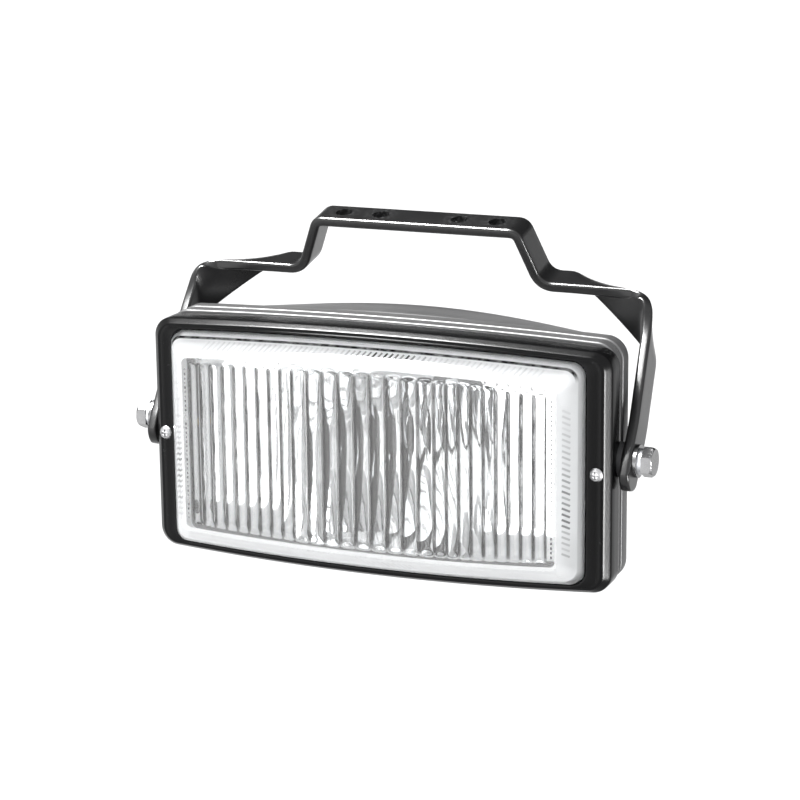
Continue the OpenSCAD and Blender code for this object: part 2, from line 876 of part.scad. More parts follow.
mounting_bracket();
front_frame();
lens();
lens_gasket();
housing();
reflector();
reflector_screws();
bulb_holder();
holder_rivets();
bulb_base();
bulb_glass();
bulb_filament();
bulb_posts();
bulb_shield();
shield_rivets();
bulb_clip();
bulb_lead();
lead_terminal();
earth_tag();
cable_grommet();
breather_cap();
frame_screws();
frame_screw_nuts();
pivot_bolt_left();
pivot_bolt_right();
pivot_washers();
pivot_lock_washers();
pivot_spacers();
pivot_insert_left();
pivot_insert_right();
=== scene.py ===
import json
import math
import random

import bmesh
import bpy
from mathutils import Matrix, Vector

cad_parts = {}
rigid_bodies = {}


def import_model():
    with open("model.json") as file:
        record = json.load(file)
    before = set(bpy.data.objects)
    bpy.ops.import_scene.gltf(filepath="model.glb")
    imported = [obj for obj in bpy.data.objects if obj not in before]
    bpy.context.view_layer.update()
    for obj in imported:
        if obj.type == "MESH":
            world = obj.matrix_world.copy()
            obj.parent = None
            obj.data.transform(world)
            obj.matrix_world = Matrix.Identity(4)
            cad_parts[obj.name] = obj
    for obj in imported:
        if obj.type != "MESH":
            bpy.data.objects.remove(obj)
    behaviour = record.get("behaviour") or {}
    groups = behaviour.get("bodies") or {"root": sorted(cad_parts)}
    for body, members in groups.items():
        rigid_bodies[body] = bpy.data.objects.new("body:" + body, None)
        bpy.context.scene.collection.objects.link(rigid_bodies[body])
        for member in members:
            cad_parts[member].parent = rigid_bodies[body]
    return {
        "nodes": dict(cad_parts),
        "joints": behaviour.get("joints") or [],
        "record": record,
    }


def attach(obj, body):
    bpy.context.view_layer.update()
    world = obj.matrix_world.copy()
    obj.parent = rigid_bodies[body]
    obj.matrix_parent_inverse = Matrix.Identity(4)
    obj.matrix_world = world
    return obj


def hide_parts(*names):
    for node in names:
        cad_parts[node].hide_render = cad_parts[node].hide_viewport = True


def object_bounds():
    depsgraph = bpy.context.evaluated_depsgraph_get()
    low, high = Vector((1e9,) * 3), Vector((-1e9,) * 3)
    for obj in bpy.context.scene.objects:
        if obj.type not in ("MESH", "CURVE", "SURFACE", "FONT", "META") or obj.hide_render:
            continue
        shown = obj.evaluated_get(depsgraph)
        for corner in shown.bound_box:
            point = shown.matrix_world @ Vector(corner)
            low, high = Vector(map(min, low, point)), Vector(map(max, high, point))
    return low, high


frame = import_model()
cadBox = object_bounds()
nodes = frame["nodes"]
scene = bpy.context.scene
mm = 0.001
print("frame loaded:", len(nodes), "nodes")

# how the lamp hangs: its own zero is the middle of the lens rim, upright, looking along -Y
lamp = {
    "aim": 12,  # degrees up at rest
    "pivotBack": 22,
    "pivotUp": 4,
    "halfWidth": 120,  # front frame
    "halfHeight": 58.6,
    "crown": 3.6,  # rise of the top and bottom edges at the middle
    "bulge": 3,  # how far the front stands forward at the middle
}
tilt = [j for j in frame["joints"] if j["name"] == "lamp_tilt"][0]
pivot = Vector(tilt["pos_m"])
toFrame = Matrix.Scale(mm, 4)
lampToFrame = (
    Matrix.Translation(pivot)
    @ Matrix.Rotation(math.radians(-lamp["aim"]), 4, "X")
    @ Matrix.Translation((0, -lamp["pivotBack"] * mm, -lamp["pivotUp"] * mm))
    @ toFrame
)

view = {
    "lookAt": (0.01537, -0.07984, -0.06179),
    "azimuth": 24.22,
    "elevation": 25.28,
    "roll": -5.68,
    "distance": 1.2696,
    "lens": 118.94,
}


def makeCamera(v):
    az, el = math.radians(v["azimuth"]), math.radians(v["elevation"])
    back = Vector((math.sin(az) * math.cos(el), -math.cos(az) * math.cos(el), math.sin(el)))
    right = Vector((math.cos(az), math.sin(az), 0))
    up = back.cross(right)
    turn = Matrix.Rotation(math.radians(v["roll"]), 3, back)
    axes = Matrix((turn @ right, turn @ up, back)).transposed()
    camera = bpy.data.objects.new("camera", bpy.data.cameras.new("camera"))
    camera.data.lens = v["lens"]
    camera.matrix_world = Matrix.Translation(Vector(v["lookAt"]) + back * v["distance"]) @ axes.to_4x4()
    scene.collection.objects.link(camera)
    scene.camera = camera


makeCamera(view)
print("camera placed")


# shader maths: one socket, with the plain operators
class Value:
    def __init__(self, tree, socket):
        self.tree = tree
        self.socket = socket

    def work(self, operation, *terms):
        node = self.tree.nodes.new("ShaderNodeMath")
        node.operation = operation
        for place, term in zip(node.inputs, terms):
            plug(self.tree, place, term)
        return Value(self.tree, node.outputs[0])

    def __add__(self, other):
        return self.work("ADD", self, other)

    def __mul__(self, other):
        return self.work("MULTIPLY", self, other)

    __radd__ = __add__
    __rmul__ = __mul__


def plug(tree, place, value):
    if isinstance(value, Value):
        tree.links.new(value.socket, place)
    else:
        place.default_value = value


# one material: constant sockets by name, then whatever varies is fed in
class Finish:
    def __init__(self, name, color, **sockets):
        self.material = bpy.data.materials.new(name)
        self.material.use_nodes = True
        self.tree = self.material.node_tree
        self.shader = self.tree.nodes["Principled BSDF"]
        self.color = (*color, 1)
        self.shader.inputs["Base Color"].default_value = self.color
        for key, value in sockets.items():
            self.shader.inputs[key.replace("_", " ")].default_value = value
        self.place = self.add("ShaderNodeTexCoord", out="Object")

    def add(self, kind, settings=None, sockets=None, out=0):
        node = self.tree.nodes.new(kind)
        for key, value in (settings or {}).items():
            if key == "stops":
                for element, (position, shade) in zip(node.color_ramp.elements, value):
                    element.position = position
                    element.color = (shade, shade, shade, 1)
            else:
                setattr(node, key, value)
        for key, value in (sockets or {}).items():
            plug(self.tree, node.inputs[key], value)
        return Value(self.tree, node.outputs[out])

    def noise(self, size, detail=2.0, rough=0.55, place=None):
        return self.add("ShaderNodeTexNoise", {}, {
            "Vector": place or self.place, "Scale": 1 / size, "Detail": detail, "Roughness": rough})

    def stretched(self, scale):
        return self.add("ShaderNodeMapping", {}, {"Vector": self.place, "Scale": scale})

    def ramp(self, value, low, high):
        return self.add("ShaderNodeValToRGB", {"stops": [(low, 0), (high, 1)]}, {"Fac": value})

    def tint(self, mask, shade, under=None):
        under = under or self.color
        node = self.tree.nodes.new("ShaderNodeMix")
        node.data_type = "RGBA"
        for index, value in ((0, mask), (6, under), (7, (*shade, 1))):
            plug(self.tree, node.inputs[index], value)
        return Value(self.tree, node.outputs[2])

    def near(self, points, reach):  # 1 at the points, falling to 0 at reach
        best = None
        for p in points:
            away = self.add(
                "ShaderNodeVectorMath", {"operation": "DISTANCE"}, {0: self.place, 1: p}, out="Value")
            best = away if best is None else best.work("MINIMUM", best, away)
        return self.add("ShaderNodeMapRange", {}, {0: best, 1: 0.0, 2: reach, 3: 1.0, 4: 0.0})

    def feed(self, **links):
        for key, value in links.items():
            plug(self.tree, self.shader.inputs[key.replace("_", " ")], value)
        return self

    def over(self, mask, color, roughness):  # a second, plain surface where the mask is 1
        plain = self.add("ShaderNodeBsdfPrincipled", {}, {
            "Base Color": (*color, 1), "Roughness": roughness, "Specular IOR Level": 0})
        base = Value(self.tree, self.shader.outputs[0])
        both = self.add("ShaderNodeMixShader", {}, {0: mask, 1: base, 2: plain})
        plug(self.tree, self.tree.nodes["Material Output"].inputs["Surface"], both)

    def relief(self, height, distance, strength=1.0):
        bump = self.add("ShaderNodeBump", {}, {
            "Height": height, "Distance": distance, "Strength": strength})
        return self.feed(Normal=bump)


# mesh helpers
def bezier(a, b, c, steps):  # quadratic bend from a to c round b, without its first point
    path = []
    for i in range(1, steps + 1):
        u = i / steps
        path.append(a * (1 - u) ** 2 + b * (2 * u * (1 - u)) + c * u ** 2)
    return path


def spread(a, b, steps):
    return [a + (b - a) * i / steps for i in range(steps + 1)]


def topEdge(hw, hh, rise, r, middle, corner):
    # top of a rounded rectangle as (x, z) from left to right, with a point at each middle
    right = [(hw - r + r * math.cos(math.pi / 2 * k / corner), r * math.sin(math.pi / 2 * k / corner))
             for k in range(corner)]
    columns = [(-x, lift) for x, lift in right] + [(m * (hw - r), r) for m in middle] + right[::-1]
    return [(x, (hh - r + lift) * (1 + rise / hh * (1 - (x / hw) ** 2))) for x, lift in columns]


def outline(hw, hh, rise, r, middle, corner=8, side=12):
    # rounded rectangle as (x, z), one point per column and side row, from the bottom left round
    top = topEdge(hw, hh, rise, r, middle, corner)
    rows = spread(-1, 1, side)[1:-1]
    loop = [(x, -z) for x, z in top]
    loop += [(hw, (hh - r) * d) for d in rows]
    loop += top[::-1]
    loop += [(-hw, -(hh - r) * d) for d in rows]
    return loop


def ring(hw, hh, rise, r, y, swell=0.0, middle=None, corner=8, side=12):
    middle = middle or spread(-1, 1, 60)
    return [Vector((x, y - swell * (1 - (x / lamp["halfWidth"]) ** 2), z))
            for x, z in outline(hw, hh, rise, r, middle, corner, side)]


def addLoop(bm, points):
    return [bm.verts.new(p) for p in points]


def bridge(bm, first, second):
    count = len(first)
    for i in range(count):
        bm.faces.new((first[i], first[(i + 1) % count], second[(i + 1) % count], second[i]))


def skin(bm, rings, closed=False, capped=False):
    loops = [addLoop(bm, points) for points in rings]
    for first, second in zip(loops, loops[1:]):
        bridge(bm, first, second)
    if closed:
        bridge(bm, loops[-1], loops[0])
    if capped:
        bm.faces.new(loops[0])
        bm.faces.new(loops[-1])
    return loops


def lathe(bm, profile, place, steps=48, closed=False):
    # profile is (radius, along) and turns round the local Y axis of place; a zero radius closes an end
    loops = []
    for r, y in profile:
        if r < 1e-6:
            loops.append([bm.verts.new(place @ Vector((0, y, 0)))])
            continue
        turn = [2 * math.pi * k / steps for k in range(steps)]
        loops.append([bm.verts.new(place @ Vector((r * math.cos(a), y, r * math.sin(a)))) for a in turn])
    pairs = list(zip(loops, loops[1:])) + ([(loops[-1], loops[0])] if closed else [])
    for first, second in pairs:
        if len(first) == 1 and len(second) == 1:
            continue
        for i in range(steps):
            j = (i + 1) % steps
            if len(first) == 1:
                bm.faces.new((first[0], second[j], second[i]))
            elif len(second) == 1:
                bm.faces.new((first[i], first[j], second[0]))
            else:
                bm.faces.new((first[i], first[j], second[j], second[i]))


def sweep(bm, path, radius, sides=10):
    loops = []
    side = None
    for i, point in enumerate(path):
        along = (path[min(i + 1, len(path) - 1)] - path[max(i - 1, 0)]).normalized()
        side = (side or along.orthogonal()).cross(along).cross(along).normalized() * -1
        up = along.cross(side)
        turn = [2 * math.pi * k / sides for k in range(sides)]
        loops.append(addLoop(bm, [point + radius * (math.cos(a) * side + math.sin(a) * up) for a in turn]))
    for first, second in zip(loops, loops[1:]):
        bridge(bm, first, second)
    bm.faces.new(loops[0])
    bm.faces.new(loops[-1])


def finishPiece(name, bm, place, finish, body, replaces, crease=40):
    bmesh.ops.transform(bm, matrix=place, verts=bm.verts)
    bmesh.ops.recalc_face_normals(bm, faces=bm.faces)
    mesh = bpy.data.meshes.new(name)
    bm.to_mesh(mesh)
    bm.free()
    mesh.shade_smooth()
    mesh.set_sharp_from_angle(angle=math.radians(crease))
    piece = bpy.data.objects.new(name, mesh)
    scene.collection.objects.link(piece)
    mesh.materials.append(finish.material)
    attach(piece, body)
    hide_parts(*replaces)
    return piece


def turned(x, z):  # an axis along the lamp's depth through (x, z)
    return Matrix.Translation((x, 0, z))


def acrossAxis(y, z, sign=1):  # local Y points out sideways through (y, z)
    return Matrix.Translation((0, y, z)) @ Matrix.Rotation(math.radians(-90 * sign), 4, "Z")


# bracket: one folded strip of steel
bracket = {
    "stripWidth": 18,
    "thickness": 5,
    "plateHalf": 55,
    "footX": 65.5,
    "stepHeight": 27,
    "cornerX": 124,
    "foldRun": 45,
    "foldDrop": 25,
    "cornerLeg": 13,
    "bendLeg": 5.5,
    "padX": 127.4,
    "padTop": 17,
    "armEnd": 10,
    "armTail": 5,
    "edgeRound": 1.5,
    "holes": (-41, -21, 21, 41),
    "holeRadius": 4.25,
    "pivotHole": 4.08,
    "drillDepth": (0.03, 0.4),  # metres, through the plate and across both arms
    "foldLead": 4,  # soft starts of the rear edge's fold
    "foldRound": 8,
    "paint": (0.006, 0.006, 0.0063),
    "primer": (0.06, 0.06, 0.062),
}


def bracketFinish(b):
    paint = Finish("satin_black_paint", b["paint"], Specular_IOR_Level=0.22, Coat_Roughness=0.16)
    speckle = paint.noise(0.0011, 3)
    cloud = paint.noise(0.022, 3)
    spots = [(x * mm, 0, 0) for x in b["holes"]] + [(s * b["padX"] * mm, pivot.y, pivot.z) for s in (-1, 1)]
    rub = paint.near(spots, 0.011) * paint.ramp(paint.noise(0.0016, 4), 0.5, 0.62)
    paint.feed(
        Base_Color=paint.tint(rub * 0.75, b["primer"], paint.tint(cloud * 0.35, (0.014, 0.014, 0.0145))),
        Roughness=0.22 + cloud * 0.1 + speckle * 0.05 + rub * 0.2,
        Coat_Weight=0.06 + cloud * 0.1,
    )
    paint.relief(speckle + paint.noise(0.0005, 2) * 0.4, 0.00005, 0.5)
    return paint


def makeBracket(b):
    px, pz = -pivot.y / mm, -pivot.z / mm  # pivot in front of and below the plate
    half = b["stripWidth"] / 2
    run, fall = px - half, pz - b["stepHeight"]
    reach = math.hypot(run, fall)
    lean = math.atan2(run, fall) + math.asin(half / reach)
    armTop = reach * math.cos(math.asin(half / reach))

    def arm(s, v):
        splay = max(0, (s - b["padTop"]) / (armTop - b["padTop"]))
        across = v - half
        return Vector((
            b["padX"] + (b["cornerX"] - b["padX"]) * splay,
            -px + across * math.cos(lean) + s * math.sin(lean),
            -pz - across * math.sin(lean) + s * math.cos(lean),
        ))

    def toward(a, c, d):
        return a + (c - a).normalized() * d

    def stepEdge(y):
        top, foot = Vector((b["plateHalf"], y, 0)), Vector((b["footX"], y, -b["stepHeight"]))
        leg = b["bendLeg"]
        start = top - Vector((leg, 0, 0))
        edge = spread(Vector((0, y, 0)), start, 6)
        edge += bezier(start, top, toward(top, foot, leg), 9)
        edge += spread(toward(top, foot, leg), toward(foot, top, leg), 3)[1:]
        edge += bezier(toward(foot, top, leg), foot, foot + Vector((leg, 0, 0)), 9)
        return edge

    v = b["stripWidth"]
    foldStart = Vector((b["cornerX"] - b["foldRun"], half, -b["stepHeight"]))
    foldEnd = arm(armTop - b["foldDrop"], v)
    corner = Vector((b["cornerX"], -half, -b["stepHeight"]))
    atFold = Vector((foldStart.x, -half, -b["stepHeight"]))
    cornerStart, cornerEnd = corner - Vector((b["cornerLeg"], 0, 0)), arm(armTop - b["cornerLeg"], 0)
    front = stepEdge(-half)
    front += spread(front[-1], atFold, 2)[1:]
    front += spread(atFold, cornerStart, 8)[1:]
    front += bezier(cornerStart, corner, cornerEnd, 24)
    front += spread(cornerEnd, arm(armTop - b["foldDrop"], 0), 8)[1:]
    back = stepEdge(half)
    soft = b["foldRound"]
    beforeFold = foldStart - Vector((b["foldLead"], 0, 0))
    foldIn, foldOut = toward(foldStart, foldEnd, soft), toward(foldEnd, foldStart, soft)
    afterFold = arm(armTop - b["foldDrop"] - soft, v)
    back += spread(back[-1], beforeFold, 2)[1:]
    back += bezier(beforeFold, foldStart, foldIn, 8)
    back += spread(foldIn, foldOut, 24)[1:]
    back += bezier(foldOut, foldEnd, afterFold, 8)
    low = b["padTop"] + 4
    front += spread(arm(armTop - b["foldDrop"], 0), arm(low, 0), 6)[1:]
    back += spread(afterFold, arm(low, v), 6)[1:]
    front += bezier(arm(low, 0), arm(low - 4, 0), arm(low - 8, 0), 6)
    back += bezier(arm(low, v), arm(low - 4, v), arm(low - 8, v), 6)
    front += spread(arm(low - 8, 0), arm(-b["armTail"], 0), 5)[1:]
    back += spread(arm(low - 8, v), arm(-b["armTail"], v), 5)[1:]
    for k in range(1, 9):  # the rounded end
        a = math.asin(half / b["armEnd"]) * (1 - k / 8) + 0.02
        s = -b["armTail"] - b["armEnd"] * math.cos(a)
        h = b["armEnd"] * math.sin(a)
        front.append(arm(s, half - h))
        back.append(arm(s, half + h))

    def mirrored(edge):
        return [Vector((-p.x, p.y, p.z)) for p in edge[:0:-1]]

    front = mirrored(front) + front
    back = mirrored(back) + back
    last = len(front) - 1
    t, r = b["thickness"], b["edgeRound"]
    rings = []
    for i in range(len(front)):
        width = back[i] - front[i]
        span = width.length
        soft = min(r, span * 0.3)
        normals = [(edge[min(i + 1, last)] - edge[max(i - 1, 0)]).cross(width).normalized()
                   for edge in (front, back)]
        corners = ((span - soft, soft, 270), (span - soft, t - soft, 0),
                   (soft, t - soft, 90), (soft, soft, 180))
        section = []
        for cx, cy, a0 in corners:
            for k in range(5):
                a = math.radians(a0 + 90 * k / 4)
                section.append((cx + soft * math.cos(a), cy + soft * math.sin(a)))
            if a0 == 0 or a0 == 180:
                at = section[-1][1]
                ends = (span - soft, soft) if a0 == 0 else (soft, span - soft)
                section += [(x, at) for x in spread(ends[0], ends[1], 6)[1:-1]]
        points = []
        for a, depth in section:
            u = a / span
            n = normals[0].lerp(normals[1], min(max(u, 0), 1)).normalized()
            points.append(front[i] + width * u - n * depth)
        rings.append(points)
    bm = bmesh.new()
    skin(bm, rings, capped=True)
    piece = finishPiece("bracket_strip", bm, toFrame, bracketFinish(b), "bracket", ["mounting_bracket"],
                        crease=50)
    drills = bmesh.new()
    through, across = b["drillDepth"]
    bores = [(b["holeRadius"], through, Matrix.Translation((x * mm, 0, 0))) for x in b["holes"]]
    bores.append((b["pivotHole"], across, Matrix.Translation(pivot) @ Matrix.Rotation(math.pi / 2, 4, "Y")))
    for radius, depth, place in bores:
        bmesh.ops.create_cone(drills, cap_ends=True, segments=64, radius1=radius * mm,
                              radius2=radius * mm, depth=depth, matrix=place)
    drillMesh = bpy.data.meshes.new("drills")
    drills.to_mesh(drillMesh)
    drills.free()
    drill = bpy.data.objects.new("drills", drillMesh)
    scene.collection.objects.link(drill)
    cut = piece.modifiers.new("holes", "BOOLEAN")
    cut.object = drill
    cut.solver = "EXACT"
    bake(piece, "rims", 0.0005, 30)
    bpy.data.objects.remove(drill)


def bake(piece, name, width, angle):
    # the cut mesh with a small bevel round the holes, made final
    rim = piece.modifiers.new(name, "BEVEL")
    rim.width = width
    rim.segments = 2
    rim.limit_method = "ANGLE"
    rim.angle_limit = math.radians(angle)
    graph = bpy.context.evaluated_depsgraph_get()
    final = bpy.data.meshes.new_from_object(piece.evaluated_get(graph))
    piece.modifiers.clear()
    piece.data = final
    final.shade_smooth()
    final.set_sharp_from_angle(angle=math.radians(38))
    flat = piece.modifiers.new("flat_faces", "WEIGHTED_NORMAL")
    flat.keep_sharp = True


makeBracket(bracket)
print("bracket made")

# front frame of the lamp, lens opening to outer skirt
rim = {
    "front": 4.2,
    "back": 19,
    "wall": 2.2,
    "corner": 9,
    "round": 4,  # radius along the front edge
    "lensHalfWidth": 107.5,
    "lensHalfHeight": 53.6,
    "flange": 8.3,
    "notch": 9.1,  # round the pivot boss
    "notchFrom": 117,  # only this far out or more
    "edgeSteps": 14,
    "color": (0.0025, 0.0025, 0.0027),
    "worn": (0.025, 0.025, 0.026),
}


def rimFinish(s):
    plastic = Finish("grained_black_plastic", s["color"], Specular_IOR_Level=0.09)
    grain = plastic.noise(0.00075, 2, 0.6)
    pits = plastic.add(
        "ShaderNodeTexVoronoi", {}, {"Vector": plastic.place, "Scale": 1 / 0.0012}, out="Distance")
    cloud = plastic.noise(0.03, 3)
    flecks = plastic.ramp(plastic.noise(0.0022, 3), 0.69, 0.74)
    plastic.feed(
        Base_Color=plastic.tint(
            flecks * 0.8, s["worn"], plastic.tint(cloud * 0.4, (0.0045, 0.0045, 0.0048))),
        Roughness=0.17 + cloud * 0.05 + grain * 0.06,
    )
    plastic.relief(grain * 0.7 + pits * 0.5, 0.0001, 0.2)
    return plastic


def makeFrame(s):
    hw, hh, crown = lamp["halfWidth"], lamp["halfHeight"], lamp["crown"]
    lw, lh = s["lensHalfWidth"], s["lensHalfHeight"]
    front, back, r, flange, wall = s["front"], s["back"], s["round"], s["flange"], s["wall"]

    def inner(e, y):
        return ring(lw + e, lh + e, crown - 0.8, 6 + e, y, lamp["bulge"], corner=12, side=56)

    def outer(e, k, y, swell):
        return ring(hw - e, hh - e * k, crown, s["corner"] - e * 0.5, y, swell, corner=12, side=56)

    rings = [inner(0.4, flange), inner(0.4, front + 0.2), inner(0.5, front - 0.4), inner(0.8, front - 0.8),
             inner(1.3, front - 1), inner(2, front - 1)]
    rings += [outer(7, 0.5, front - 0.15, lamp["bulge"]), outer(5, 0.55, front, lamp["bulge"])]
    steps = s["edgeSteps"]
    turns = [math.radians(45 + 45 * ((2 * k + 1) / steps - 1) ** 5) for k in range(steps)]
    scale = r / sum(math.cos(a) for a in turns)
    e, y = r, front
    for a in turns:  # the soft front edge, flattest halfway round
        e -= math.cos(a) * scale
        y += math.sin(a) * scale
        rings.append(outer(max(e, 0), 0.6, y, lamp["bulge"]))
    for depth in (0.45, 0.7, 0.85, 0.97):
        y = front + r + (back - front - r) * depth
        rings.append(outer(0, 1, y, lamp["bulge"] * (1 - depth)))
    rings += [outer(0.15, 1, back - 0.1, 0), outer(0.5, 1, back, 0), outer(wall - 0.3, 1, back, 0),
              outer(wall, 1, back - 0.3, 0), outer(wall, 1, flange + 0.2, lamp["bulge"]),
              outer(wall + 0.2, 1, flange, lamp["bulge"])]
    for points in rings:
        for p in points:
            rise = abs(p.z - lamp["pivotUp"])
            if abs(p.x) > s["notchFrom"] and rise < s["notch"]:
                p.y = min(p.y, lamp["pivotBack"] - math.sqrt(s["notch"] ** 2 - rise ** 2))
    bm = bmesh.new()
    skin(bm, rings, closed=True)
    finishPiece("lamp_front_frame", bm, lampToFrame, rimFinish(s), "lamp", ["front_frame"],
                crease=50)


makeFrame(rim)
print("front frame made")

# lens: pressed glass, flat outside, vertical flutes inside
lens = {
    "halfWidth": 107.5,
    "halfHeight": 53.6,
    "corner": 6,
    "out": 10,
    "bevel": 8,
    "glass": 3.2,
    "flangeHalfWidth": 110.2,
    "flange": (8.45, 11.95),
    "flutes": ((9, 6.2, 0.95), (9, 8.2, 1.35), (9, 6.2, 0.95)),  # how many, pitch, depth
    "fluteStops": (0, 0.05, 0.09, 0.16, 0.24, 0.36, 0.5, 0.64, 0.76, 0.84, 0.91, 0.95),
    "painted_shade": 1.0,  # painted shade: how much the dark lines in the valleys between flutes darken the glass
    "valley": (0.6, 1.1),  # half width of the painted shade line, full and none
    "prismPitch": 2.8,
    "prismSlant": 4.2,
    # painted shade on the pressed ticks
    "prismDark": 0.13,
    "dotPitch": 2.3,
    "tickReach": (88, 36),  # how far the pressed ticks go across and up from the middle
    "dotReach": 39,
    "shoulderLine": (46, 50),  # the painted shade line on the shoulder comes in between these heights
    "color": (0.985, 0.99, 0.992),
    # colour of the painted shade lines on the glass and its rim
    "paintedShadeColor": (0.0015, 0.0016, 0.0018),
    # painted highlight: pale colour of the lens bevel and its ticks
    "rimPaintedBright": (0.92, 0.925, 0.93),
}


def lensFinish(s):
    glass = Finish(
        "pressed_lens_glass", s["color"], Transmission_Weight=1.0, IOR=1.51, Specular_IOR_Level=0.25)
    painted_shade = glass.add("ShaderNodeAttribute", {"attribute_name": "painted_shade"}, {}, out="Fac")
    ragged = glass.ramp(glass.noise(0.004, 4, 0.7, glass.stretched((1, 1, 0.35))), 0.32, 0.6)
    waves = glass.noise(0.012, 2)
    glass.feed(
        Base_Color=glass.tint(waves * 0.25, (0.95, 0.965, 0.97)),
        Roughness=0.01 + glass.ramp(glass.noise(0.006, 4), 0.45, 0.8) * 0.03,
    )
    glass.relief(waves + glass.noise(0.003, 2) * 0.1, 0.0002, 0.2)
    # painted shade: a dark plain surface mixed in along the flute valleys, the shoulder line, the ticks and
    # the dots
    glass.over(painted_shade * (0.72 + ragged * 0.28), s["paintedShadeColor"], 0.5)
    return glass


def pressedRimFinish(s):
    # the bevel and its pressed ticks as a pale matt surface: painted highlight standing in for the brightly
    # lit glass
    paintedBright = Finish("pressed_lens_rim", s["rimPaintedBright"], Transmission_Weight=0.1, Specular_IOR_Level=0.1)
    painted_shade = paintedBright.add("ShaderNodeAttribute", {"attribute_name": "painted_shade"}, {}, out="Fac")
    cloud = paintedBright.noise(0.012, 3)
    fine = paintedBright.noise(0.0012, 2, 0.6)
    paintedBright.feed(
        Base_Color=paintedBright.tint(cloud * 0.5, (0.83, 0.835, 0.84)),
        Roughness=0.35 + fine * 0.2,
    )
    paintedBright.relief(fine + cloud * 0.3, 0.0001, 0.4)
    paintedBright.over(painted_shade, s["paintedShadeColor"], 0.5)
    return paintedBright


def fluteColumns(s, reach):
    # across the inside face: x, height of the flute there and how deep in a valley it is, which sets the
    # painted shade line there
    total = sum(count * pitch for count, pitch, depth in s["flutes"])
    x = -total / 2
    columns = [(-reach, 0, 0), (x - 0.9, 0, 0)]
    for count, pitch, depth in s["flutes"]:
        for i in range(count):
            for f in s["fluteStops"]:
                u = 2 * f - 1
                full, none = s["valley"]
                valley = max(0, min(1, (none - min(f, 1 - f) * pitch) / (none - full)))
                columns.append((x + pitch * f, depth * (1 - u * u), valley))
            x += pitch
    columns += [(x, 0, 1), (x + 0.9, 0, 0), (reach, 0, 0)]
    return columns


